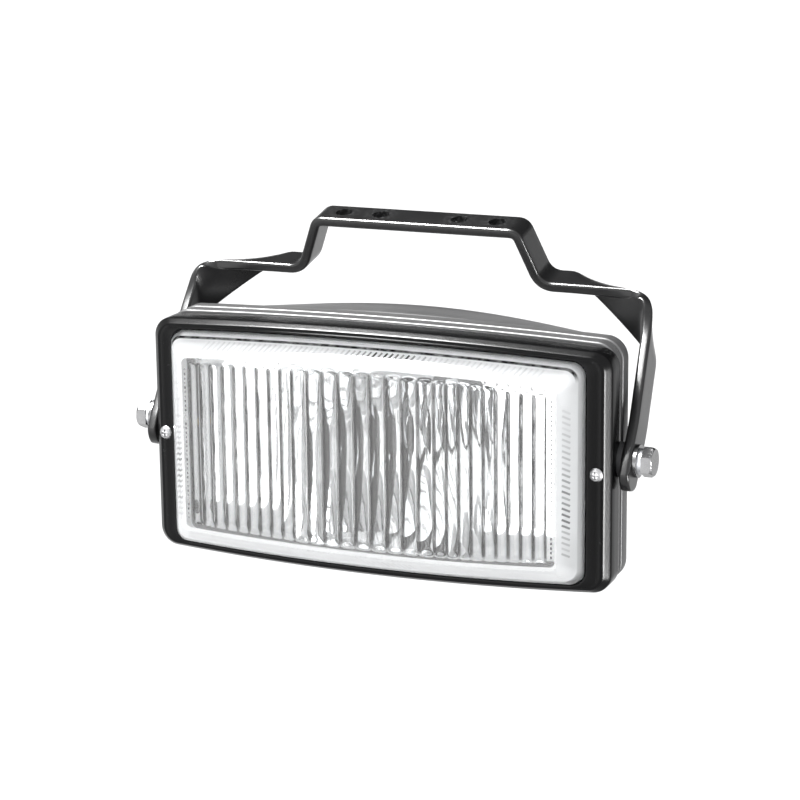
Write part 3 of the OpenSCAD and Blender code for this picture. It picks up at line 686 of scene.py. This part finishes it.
def makeLens(s):
    crown = lamp["crown"] - 0.8
    bulge = lamp["bulge"]
    glass, bevel = s["glass"], s["bevel"]
    faceIn = (s["halfWidth"] - bevel - glass + 0.8, s["halfHeight"] - bevel - glass + 0.8, 2.6)
    reach = faceIn[0] - faceIn[2]
    columns = fluteColumns(s, reach)
    middle = [x / reach for x, height, valley in columns]
    corner = 6
    rows = [-1, -0.985, -0.965, -0.945, -0.93, -0.915, -0.9, -0.88, -0.85, -0.8, -0.7, -0.5, -0.3, -0.1]
    rows += [-d for d in rows[::-1]]

    def hoop(hw, hh, r, y, rise=crown, swell=bulge):
        top = topEdge(hw, hh, rise, r, middle, corner)
        grid = [[Vector((x, y - swell * (1 - (x / lamp["halfWidth"]) ** 2), z * d)) for x, z in top]
                for d in rows]
        return top, grid

    def rimLoop(grid):
        loop = list(grid[0])
        loop += [row[-1] for row in grid[1:-1]]
        loop += grid[-1][::-1]
        loop += [row[0] for row in grid[-2:0:-1]]
        return loop

    def inset(e, y):
        return rimLoop(hoop(s["halfWidth"] - e, s["halfHeight"] - e, max(s["corner"] - e * 0.3, 2.5), y)[1])

    bm = bmesh.new()
    # painted shade per vertex: dark lines at the flute valleys and on the shoulder
    painted_shade = bm.verts.layers.float.new("painted_shade")

    def face(hw, hh, r, y, fluted):
        top, grid = hoop(hw, hh, r, y)
        made = []
        for row in grid:
            line = []
            for i, p in enumerate(row):
                valley = 0
                if fluted and corner <= i < corner + len(columns):
                    height, valley = columns[i - corner][1:]
                    room = (top[i][1] - 2.4 - abs(p.z)) / 2.5
                    fade = max(0, min(1, room)) ** 0.5
                    p.y += height * fade
                    valley *= fade
                vert = bm.verts.new(p)
                # painted shade along each flute valley
                vert[painted_shade] = valley * s["painted_shade"]
                line.append(vert)
            made.append(line)
        for low, high in zip(made, made[1:]):
            for i in range(len(low) - 1):
                bm.faces.new((low[i], low[i + 1], high[i + 1], high[i]))
        return rimLoop(made)

    front = -s["out"]
    flangeFront, flangeBack = s["flange"]
    lineFrom, lineFull = s["shoulderLine"]
    outer = [face(s["halfWidth"] - bevel - 0.9, s["halfHeight"] - bevel - 0.9, 3.4, front, False)]
    # inset, depth and painted shade: soft front edge, bevel, shoulder and wall
    steps = ((8.5, front + 0.08, 0), (8.05, front + 0.3, 0), (7.6, front + 0.62, 0), (2.4, -2.6, 0),
             (2.1, -2.25, 1), (1.4, -1.4, 1), (1.1, -1, 0), (0.4, 0, 0), (0.1, 0.8, 0), (0, 1.6, 0),
             (0, flangeFront, 0))
    for e, y, dark in steps:
        outer.append(addLoop(bm, inset(e, y)))
        for vert in outer[-1]:
            # painted shade line along the top shoulder
            vert[painted_shade] = dark * max(0, min(1, (vert.co.z - lineFrom) / (lineFull - lineFrom)))
    flangeHalf = lamp["halfHeight"] - rim["wall"] - 0.5
    for y, swell in ((flangeFront, bulge), (flangeBack, 0)):
        edge = hoop(s["flangeHalfWidth"], flangeHalf, 7, y, lamp["crown"], swell)[1]
        outer.append(addLoop(bm, rimLoop(edge)))
    inner = [face(*faceIn, front + glass, True)]
    for e, y in ((glass + bevel - 1.4, front + glass + 0.5), (glass + 0.6, 0.6), (glass, 1.6)):
        inner.append(addLoop(bm, inset(e, y)))
    behind = hoop(s["halfWidth"] - glass, s["halfHeight"] - glass, 4, flangeBack, crown, 0)[1]
    inner.append(addLoop(bm, rimLoop(behind)))
    for first, second in zip(outer, outer[1:]):
        bridge(bm, first, second)
    clear = len(bm.faces)
    for first, second in zip(inner, inner[1:]):
        bridge(bm, first, second)
    bridge(bm, outer[-1], inner[-1])
    bm.faces.ensure_lookup_table()
    for made in bm.faces[clear:]:
        made.material_index = 1
    body = finishPiece("lens_glass_body", bm, lampToFrame, lensFinish(s), "lamp", ["lens"],
                       crease=24)
    body.data.materials.append(pressedRimFinish(s).material)

    bm = bmesh.new()
    # painted shade per vertex on the ticks and dots
    painted_shade = bm.verts.layers.float.new("painted_shade")
    dice = random.Random(4)

    def prism(start, end, inward, strength, half=0.5):
        along = (end - start).normalized()
        wide = along.cross(inward).normalized() * half
        base = [start - wide, start + wide, end + wide, end - wide]
        crest = [start + along * half, end - along * half]
        low = addLoop(bm, [p - inward * 0.25 for p in base])
        high = addLoop(bm, [p + inward * 0.5 for p in crest])
        for vert in low + high:
            vert[painted_shade] = strength
        for faceVerts in ((low[0], low[1], low[2], low[3]), (low[1], low[0], high[0]),
                          (low[2], low[1], high[0], high[1]), (low[3], low[2], high[1]),
                          (low[0], low[3], high[1], high[0])):
            bm.faces.new(faceVerts)

    def onFace(x, y, z):
        return Vector((x, y - bulge * (1 - (x / lamp["halfWidth"]) ** 2), z))

    pitch, slant = s["prismPitch"], s["prismSlant"]
    across, up = s["tickReach"]
    near = (faceIn[0] + 0.9, faceIn[1] + 0.9, front + glass + 0.9)
    far = (s["halfWidth"] - glass - 1, s["halfHeight"] - glass - 1, 0.2)
    for i in range(int(across * 2 / pitch) + 1):
        x = -across + pitch * i
        for side in (1, -1):
            ends = []
            for (hw, hh, y), shift in ((near, 0), (far, slant)):
                lift = crown * (1 - ((x + shift) / hw) ** 2)
                ends.append(onFace(x + shift, y, side * (hh + lift)))
            start, end = ends[0].lerp(ends[1], 0.28), ends[0].lerp(ends[1], 0.92)
            # painted shade: top ticks darkest near the middle, bottom ticks faint
            dark = s["prismDark"] * (1 + 8 * math.exp(-((x - 8) / 14) ** 2)) * (0.6 + 0.8 * dice.random())
            prism(start, end, Vector((0, 0.667, -0.745 * side)), min(dark if side == 1 else dark * 0.15, 1))
    for i in range(int(up * 2 / pitch) + 1):
        z = -up + pitch * i
        for side in (1, -1):
            ends = [onFace(side * hw, y, z - shift) for (hw, hh, y), shift in ((near, 0), (far, slant))]
            start, end = ends[0].lerp(ends[1], 0.15), ends[0].lerp(ends[1], 0.7)
            # painted shade on the side ticks, darkest a little below the middle
            dark = s["prismDark"] * (1 + 3 * math.exp(-((z + 14) / 20) ** 2)) * (0.6 + 0.8 * dice.random())
            prism(start, end, Vector((-0.745 * side, 0.667, 0)), min(dark, 1))
    for i in range(int(2 * s["dotReach"] / s["dotPitch"]) + 1):  # a row of pressed dots beside the flutes, darkened with painted shade
        z = -s["dotReach"] + s["dotPitch"] * i
        for side in (1, -1):
            at = onFace(side * (reach + 0.9), front + glass + 0.05, z)
            prism(at, at + Vector((0, 0, 1.2)), Vector((0, 1, 0)), 0.55 + 0.4 * dice.random(), 0.42)
    finishPiece("lens_edge_prisms", bm, lampToFrame, pressedRimFinish(s), "lamp", [],
                crease=10)


makeLens(lens)
print("lens made")

# housing: two ribs round the front, then a soft box closing to the rear
shell = {
    "ribHalfWidth": 118,
    "ribHalfHeight": 60.2,
    "ribRise": 2.6,
    "depth": 86.5,
    "wall": 2.6,
    # half width, half height, rise, corner and how far in front of the rear
    "dome": ((114.5, 57.4, 4, 11.5, 46.5), (113, 56.3, 5.9, 13, 44.5), (111.5, 55.3, 7.2, 15, 38.5),
             (107, 53.4, 8.6, 19, 28.5), (99, 50, 11, 24, 19.5), (88, 43.5, 11.5, 28, 11.5),
             (72, 34, 10, 26, 5.5), (50, 22, 7, 18, 1.5), (20, 9, 3, 8, 0)),
    "mouth": (113.6, 51.8, 5),  # half width, half height, corner
    "lip": (116.8, 55.6, 6.5),
    "lipFront": 16,
    "boss": 8.6,
    "bossX": 119.85,
    "bossBore": 5.45,
    "ports": ((45, 11, 6), (-45, 7, 2.5)),  # x, rim radius and bore of cable entry and breather
    "portZ": -22,
    "color": (0.036, 0.036, 0.037),
}


def shellFinish(s):
    plastic = Finish("satin_housing_plastic", s["color"], Specular_IOR_Level=0.45)
    grain = plastic.noise(0.0009, 2)
    cloud = plastic.noise(0.04, 3)
    drawn = plastic.noise(0.005, 3, 0.6, plastic.stretched((1, 0.12, 1)))
    plastic.feed(
        Base_Color=plastic.tint(cloud * 0.6, (0.055, 0.055, 0.056)),
        Roughness=0.38 + cloud * 0.1 + drawn * 0.1,
    )
    plastic.relief(grain + drawn * 0.5, 0.00008, 0.4)
    return plastic


def between(a, b, c, d, u):  # smooth curve through b and c
    return tuple(
        0.5 * (2 * q + (r - p) * u + (2 * p - 5 * q + 4 * r - w) * u * u + (3 * q - p - 3 * r + w) * u ** 3)
        for p, q, r, w in zip(a, b, c, d))


def makeHousing(s):
    w, h, rise = s["ribHalfWidth"], s["ribHalfHeight"], s["ribRise"]
    crown, lipFront, t = lamp["crown"], s["lipFront"], s["wall"]

    def hoop(hw, hh, up, r, y):
        return ring(hw, hh, up, r, y, corner=12, side=16)

    sections = []
    for start, end in ((20.5, 27.2), (29.9, 38.4)):
        for e, y in ((0.9, start), (0.45, start + 0.1), (0.12, start + 0.4), (0, start + 0.9),
                     (0, end - 1), (0.12, end - 0.5), (0.45, end - 0.15), (0.9, end)):
            sections.append((w - e, h - e, rise, 10 - e * 0.5, y))
        if start < 25:
            sections += [(w - 2.6, h - 2.4, rise, 8, 27.35), (w - 2.6, h - 2.4, rise, 8, 29.75)]
    ribCount = len(sections)
    dome = [(a, b, c, d, s["depth"] - e) for a, b, c, d, e in s["dome"]]
    sections += dome[:1]
    for i in range(1, len(dome)):
        a, b, c, d = dome[max(i - 2, 0)], dome[i - 1], dome[i], dome[min(i + 1, len(dome) - 1)]
        if i == 1:
            a, d = b, c
        sections += [between(a, b, c, d, k / 5) for k in range(1, 6)]
    outerRings = [hoop(*section) for section in sections]
    hollow = [section for section in sections[ribCount:] if section[4] < s["depth"] - 1]
    mouthWidth, mouthHeight, mouthCorner = s["mouth"]
    innerRings = [hoop(mouthWidth, mouthHeight, crown, mouthCorner, y) for y in (lipFront, lipFront + 4)]
    innerRings.append(hoop(mouthWidth, 56, 3, 8, 34))
    innerRings += [hoop(hw - t, hh - t, up, max(r - t, 3), y - t * 0.6)
                   for hw, hh, up, r, y in hollow[12::4]]
    innerRings.append(hoop(20, 9, 3, 8, s["depth"] - t))
    lipWidth, lipHeight, lipCorner = s["lip"]
    lip = [hoop(lipWidth, lipHeight, crown, lipCorner, y) for y in (lipFront + 4.5, lipFront)]
    bm = bmesh.new()
    skin(bm, innerRings[::-1] + lip[::-1] + outerRings, capped=True)
    r, edge, bore = s["boss"], s["bossX"], s["bossBore"]
    profile = [(0, 111.2), (r, 111.2), (r + 1.4, 116.4), (r + 0.5, 117.2), (r, 118.2), (r, edge - 0.5),
               (r - 0.15, edge - 0.15), (r - 0.5, edge), (bore, edge), (bore, edge - 1.5), (0, edge - 1.5)]
    for side in (1, -1):
        lathe(bm, profile, acrossAxis(lamp["pivotBack"], lamp["pivotUp"], side), 64)
    rear = s["depth"] - 0.5
    for x, r, bore in s["ports"]:
        profile = [(bore, rear - 9), (r + 1.5, rear - 9), (r + 1.5, rear - 3.2), (r + 0.5, rear - 1.7),
                   (r, rear - 0.9), (r - 0.2, rear - 0.2), (r - 0.7, rear), (bore + 0.3, rear),
                   (bore, rear - 0.3)]
        lathe(bm, profile, turned(x, s["portZ"]), 64, closed=True)
    finishPiece("lamp_housing_shell", bm, lampToFrame, shellFinish(s), "lamp", ["housing"],
                crease=35)


makeHousing(shell)
print("housing made")

# reflector: a bowl on one axis, cut flat above and below, in a flat bright mask
mirror = {
    "vertex": 70.5,
    "focal": 19,
    "mouth": 17,
    "wallHeight": 49.5,
    "neck": 12,
    "sheet": 1.6,
    "maskHalfWidth": 112.6,
    "maskHalfHeight": 51.2,
    "maskRise": 2.8,
    "color": (0.965, 0.968, 0.97),
    "haze": (0.84, 0.845, 0.85),
}


def mirrorFinish(s):
    silver = Finish("aluminised_mirror", s["color"], Metallic=1.0)
    cloud = silver.noise(0.018, 3)
    spots = silver.ramp(silver.noise(0.0035, 4, 0.65), 0.62, 0.75)
    silver.feed(
        Base_Color=silver.tint(cloud * 0.5 + spots * 0.4, s["haze"]),
        Roughness=0.04 + cloud * 0.06 + spots * 0.12,
    )
    silver.relief(silver.noise(0.014, 2), 0.0004, 0.3)
    return silver


def makeReflector(s):
    bowlRadius = math.sqrt(4 * s["focal"] * (s["vertex"] - s["mouth"]))
    clip = math.asin(s["wallHeight"] / bowlRadius)
    flangeTurn = math.atan2(s["maskHalfHeight"], s["maskHalfWidth"])
    quarter = spread(0, flangeTurn, 9)[:-1] + spread(flangeTurn, clip, 10)[:-1]
    quarter += spread(clip, math.pi / 2, 12)
    turns = quarter + [math.pi - a for a in quarter[-2::-1]]
    turns += [a + math.pi for a in turns[1:-1]]
    lines = []
    for a in turns:
        across, up = math.cos(a), math.sin(a)
        stop = min(bowlRadius, s["wallHeight"] / max(abs(up), 1e-6))
        line = []
        for k in range(25):
            r = s["neck"] + (stop - s["neck"]) * k / 24
            line.append(Vector((r * across, s["vertex"] - r * r / (4 * s["focal"]), r * up)))
        foot = line[-1]
        line += [Vector((foot.x, foot.y + (s["mouth"] - foot.y) * k / 6, foot.z)) for k in range(1, 7)]
        out = min(s["maskHalfWidth"] / max(abs(across), 1e-6), s["maskHalfHeight"] / max(abs(up), 1e-6))
        brim = Vector((out * across, s["mouth"], out * up))
        brim.z *= 1 + s["maskRise"] / s["maskHalfHeight"] * (1 - (brim.x / s["maskHalfWidth"]) ** 2)
        at = line[-1]
        line += [at.lerp(brim, k / 5) for k in range(1, 6)]
        lines.append(line)
    bm = bmesh.new()
    loops = [addLoop(bm, [line[k] for line in lines]) for k in range(len(lines[0]))]
    for first, second in zip(loops, loops[1:]):
        bridge(bm, first, second)
    bmesh.ops.remove_doubles(bm, verts=bm.verts, dist=0.02)
    piece = finishPiece("mirror_bowl", bm, lampToFrame, mirrorFinish(s), "lamp", ["reflector"],
                        crease=30)
    sheet = piece.modifiers.new("sheet", "SOLIDIFY")
    sheet.thickness = s["sheet"] * mm
    sheet.offset = -1


makeReflector(mirror)
print("reflector made")

# bulb: glass envelope and wound filament
bulb = {
    "tip": 41,
    "root": 66.1,
    "radius": 5.8,
    "wall": 0.9,
    "coil": 0.56,
    "wire": 0.13,
    "turns": 9,
    "span": 5.4,
    "postX": 2.79,  # where the coil's ends meet their posts
}


def bulbFinish():
    quartz = Finish("quartz_bulb_glass", (0.97, 0.975, 0.98), Transmission_Weight=1.0, IOR=1.46)
    soot = quartz.noise(0.004, 3)
    quartz.feed(Base_Color=quartz.tint(soot * 0.25, (0.82, 0.83, 0.84)), Roughness=0.01 + soot * 0.02)
    quartz.relief(quartz.noise(0.005, 2), 0.0001, 0.3)
    return quartz


def filamentFinish():
    tungsten = Finish("drawn_tungsten", (0.32, 0.31, 0.3), Metallic=1.0)
    drawn = tungsten.noise(0.0004, 3)
    tungsten.feed(Base_Color=tungsten.tint(drawn * 0.5, (0.18, 0.17, 0.17)), Roughness=0.3 + drawn * 0.2)
    tungsten.relief(drawn, 0.00001, 0.4)
    return tungsten


def makeBulb(s):
    r, t, tip, root = s["radius"], s["wall"], s["tip"], s["root"]
    bm = bmesh.new()
    dome = [(r * math.sin(a), tip + r - r * math.cos(a)) for a in spread(0, math.pi / 2, 12)]
    inner = r - t
    hollow = [(inner * math.sin(a), tip + r - inner * math.cos(a)) for a in spread(0, math.pi / 2, 12)]
    foot = [(r, root - 4), (r - 0.5, root - 2.4), (r - 0.3, root - 0.1), (0, root - 0.1)]
    lathe(bm, dome + foot, turned(0, 0))
    lathe(bm, hollow + [(inner, root - 5.4), (inner - 1.2, root - 4), (0, root - 3.6)], turned(0, 0))
    bmesh.ops.recalc_face_normals(bm, faces=bm.faces)
    finishPiece("bulb_envelope", bm, lampToFrame, bulbFinish(), "lamp", ["bulb_glass"],
                crease=35)

    y = mirror["vertex"] - mirror["focal"]
    path = [Vector((-s["postX"], y, 0))]
    count = s["turns"] * 14
    for k in range(count + 1):
        a = 2 * math.pi * s["turns"] * k / count
        x = -s["span"] / 2 + 0.3 + (s["span"] - 0.6) * k / count
        path.append(Vector((x, y + s["coil"] * math.sin(a), s["coil"] * math.cos(a))))
    path.append(Vector((s["postX"], y, 0)))
    bm = bmesh.new()
    sweep(bm, path, s["wire"], 6)
    finishPiece("bulb_coil", bm, lampToFrame, filamentFinish(), "lamp", ["bulb_filament"],
                crease=80)


makeBulb(bulb)
print("bulb made")

# lead from the bulb to its terminal
lead = {
    "start": (0, 79.4, 0),
    "turn": (8, 81, -9),
    "end": (17.2, 76.1, -19.7),
    "bends": ((0, 83.6, 0), (14, 78.4, -16)),
    "radius": 1.2,
    "color": (0.3, 0.03, 0.025),
}


def leadFinish(s):
    cover = Finish("red_wire_cover", s["color"], Specular_IOR_Level=0.5)
    cloud = cover.noise(0.006, 3)
    cover.feed(Base_Color=cover.tint(cloud * 0.5, (0.2, 0.02, 0.018)), Roughness=0.35 + cloud * 0.15)
    cover.relief(cover.noise(0.001, 2), 0.00003, 0.4)
    return cover


def makeLead(s):
    start, turn, end = Vector(s["start"]), Vector(s["turn"]), Vector(s["end"])
    first, second = [Vector(p) for p in s["bends"]]
    path = [start] + bezier(start, first, turn, 22) + bezier(turn, second, end, 14)
    bm = bmesh.new()
    sweep(bm, path, s["radius"], 16)
    finishPiece("bulb_wire", bm, lampToFrame, leadFinish(s), "lamp", ["bulb_lead"],
                crease=50)


makeLead(lead)
print("lead made")


# metals and rubbers for the pieces that come straight from the frame
def zincFinish(name, shade):
    zinc = Finish(name, (shade, shade, shade * 1.02), Metallic=1.0)
    flakes = zinc.add("ShaderNodeTexVoronoi", {}, {"Vector": zinc.place, "Scale": 1 / 0.0018}, out="Color")
    cloud = zinc.noise(0.006, 4)
    drawn = zinc.noise(0.0011, 3, 0.6, zinc.stretched((0.2, 1, 1)))
    zinc.feed(
        Base_Color=zinc.tint(cloud * 0.6, (shade * 0.5,) * 3, zinc.tint(flakes * 0.15, (shade * 1.4,) * 3)),
        Roughness=0.16 + cloud * 0.14 + drawn * 0.08,
    )
    zinc.relief(drawn + cloud * 0.5, 0.00005, 0.35)
    return zinc


def steelFinish():
    steel = Finish("stamped_steel", (0.52, 0.53, 0.55), Metallic=1.0)
    rolled = steel.noise(0.0012, 3, 0.6, steel.stretched((0.1, 1, 1)))
    cloud = steel.noise(0.008, 4)
    steel.feed(
        Base_Color=steel.tint(cloud * 0.5, (0.36, 0.36, 0.37)),
        Roughness=0.28 + rolled * 0.15 + cloud * 0.08,
    )
    steel.relief(rolled, 0.00004, 0.4)
    return steel


def brassFinish():
    brass = Finish("plain_brass", (0.75, 0.55, 0.26), Metallic=1.0)
    cloud = brass.noise(0.005, 4)
    brass.feed(Base_Color=brass.tint(cloud * 0.6, (0.5, 0.35, 0.17)), Roughness=0.24 + cloud * 0.18)
    brass.relief(brass.noise(0.0015, 3), 0.00004, 0.35)
    return brass


def rubberFinish():
    rubber = Finish("black_rubber", (0.016, 0.016, 0.017), Specular_IOR_Level=0.35)
    bloom = rubber.noise(0.006, 4)
    fine = rubber.noise(0.0007, 3)
    rubber.feed(
        Base_Color=rubber.tint(bloom * 0.5, (0.04, 0.04, 0.041)),
        Roughness=0.55 + bloom * 0.2 + fine * 0.1,
    )
    rubber.relief(fine + bloom, 0.00008, 0.5)
    return rubber


def shieldFinish():
    matt = Finish("heatproof_black", (0.012, 0.012, 0.012), Specular_IOR_Level=0.3)
    burnt = matt.noise(0.004, 4)
    matt.feed(Base_Color=matt.tint(burnt * 0.4, (0.05, 0.045, 0.04)), Roughness=0.62 + burnt * 0.2)
    matt.relief(matt.noise(0.0008, 3), 0.00006, 0.5)
    return matt


finishes = {
    "zinc_steel": zincFinish("worn_zinc", 0.16),
    "frame_screws": zincFinish("bright_zinc", 0.4),
    "plain_steel": steelFinish(),
    "contact_brass": brassFinish(),
    "seal_rubber": rubberFinish(),
    "shield_black": shieldFinish(),
    "tungsten": filamentFinish(),
}
softEdge = {
    "zinc_steel": 0.35,
    "plain_steel": 0.2,
    "contact_brass": 0.15,
    "seal_rubber": 0.3,
    "shield_black": 0.15,
    "tungsten": 0.05,
}
finePieces = ("frame_screws", "reflector_screws", "bulb_posts", "bulb_clip")  # half the softening
slotOf = {part["node"]: part["material_slot"] for part in frame["record"]["subparts"]}
for name, node in nodes.items():
    if node.hide_render:
        continue
    slot = slotOf[name]
    node.data.materials.clear()
    node.data.materials.append(finishes.get(name, finishes[slot]).material)
    edge = node.modifiers.new("soft_edge", "BEVEL")
    edge.width = softEdge[slot] * mm * (0.5 if name in finePieces else 1)
    edge.segments = 2
    edge.limit_method = "ANGLE"
    edge.angle_limit = math.radians(40)
    edge.harden_normals = True
print("frame pieces finished")

# studio: pale floor and soft lights
studio = {
    "worldColor": (0.99, 0.995, 1.0),
    "worldStrength": 1.75,
    "worldBack": 0.06,  # behind the lamp, where the studio is dark
    "worldFade": (-0.1, 0.75),  # from bright to dark between these, front to back
    "floorDrop": 0.55,  # metres under the lamp
    "floorSize": 400,
    "floorColor": (0.55, 0.55, 0.55),
    "skylight": ((-0.37, -0.07, 0.91), 3.2, 14),  # from where, strength, width in degrees
    # where from, aimed at, width, height, strength in watts, whether it lights matt surfaces too
    "lights": {
        "front_panel": ((-0.75, -1.9, -0.12), (0, 0, -0.09), 1.8, 1.0, 15, True),
        "top_strip": ((-0.5, -0.11, 1.16), (0, -0.07, -0.03), 0.95, 0.28, 270, False),
        "side_strip": ((1.3, -0.66, -0.3), (0.1, -0.08, -0.09), 0.16, 0.9, 90, False),
    },
}


def makeStudio(s):
    world = bpy.data.worlds.new("studio")
    world.use_nodes = True
    background = world.node_tree.nodes["Background"]
    background.inputs["Color"].default_value = (*s["worldColor"], 1)
    coordinate = world.node_tree.nodes.new("ShaderNodeTexCoord")
    split = world.node_tree.nodes.new("ShaderNodeSeparateXYZ")
    fade = world.node_tree.nodes.new("ShaderNodeMapRange")
    world.node_tree.links.new(coordinate.outputs["Generated"], split.inputs[0])
    world.node_tree.links.new(split.outputs["Y"], fade.inputs[0])
    world.node_tree.links.new(fade.outputs[0], background.inputs["Strength"])
    for index, value in enumerate((*s["worldFade"], s["worldStrength"], s["worldBack"]), 1):
        fade.inputs[index].default_value = value
    scene.world = world
    scene.view_settings.view_transform = "Standard"
    direction, strength, width = s["skylight"]
    sky = bpy.data.lights.new("skylight", "SUN")
    sky.energy = strength
    sky.angle = math.radians(width)
    skyObject = bpy.data.objects.new("skylight", sky)
    skyObject.rotation_euler = Vector(direction).to_track_quat("Z", "Y").to_euler()
    scene.collection.objects.link(skyObject)
    edges = bpy.data.collections.new("strip_lit")  # the strips draw the edges, and leave the lens alone
    for piece in scene.objects:
        if piece.type == "MESH" and not piece.name.startswith("lens"):
            edges.objects.link(piece)
    for name, (place, aim, width, height, power, onMatt) in s["lights"].items():
        light = bpy.data.lights.new(name, "AREA")
        light.shape = "RECTANGLE"
        light.size = width
        light.size_y = height
        light.energy = power
        lightObject = bpy.data.objects.new(name, light)
        lightObject.location = place
        lightObject.visible_diffuse = onMatt
        lightObject.rotation_euler = (Vector(aim) - Vector(place)).to_track_quat("-Z", "Y").to_euler()
        scene.collection.objects.link(lightObject)
        if not onMatt:
            lightObject.light_linking.receiver_collection = edges
    bm = bmesh.new()
    half = s["floorSize"] / 2
    corners = [(-half, -half), (half, -half), (half, half), (-half, half)]
    bm.faces.new(addLoop(bm, [Vector((x, y, cadBox[0].z - s["floorDrop"])) for x, y in corners]))
    mesh = bpy.data.meshes.new("floor")
    bm.to_mesh(mesh)
    bm.free()
    floor = bpy.data.objects.new("floor", mesh)
    scene.collection.objects.link(floor)
    paper = Finish("pale_paper", s["floorColor"], Specular_IOR_Level=0.2)
    cloud = paper.noise(0.4, 2)
    paper.feed(Base_Color=paper.tint(cloud * 0.3, (0.53, 0.53, 0.533)), Roughness=0.75 + cloud * 0.1)
    mesh.materials.append(paper.material)


makeStudio(studio)
print("studio lit")
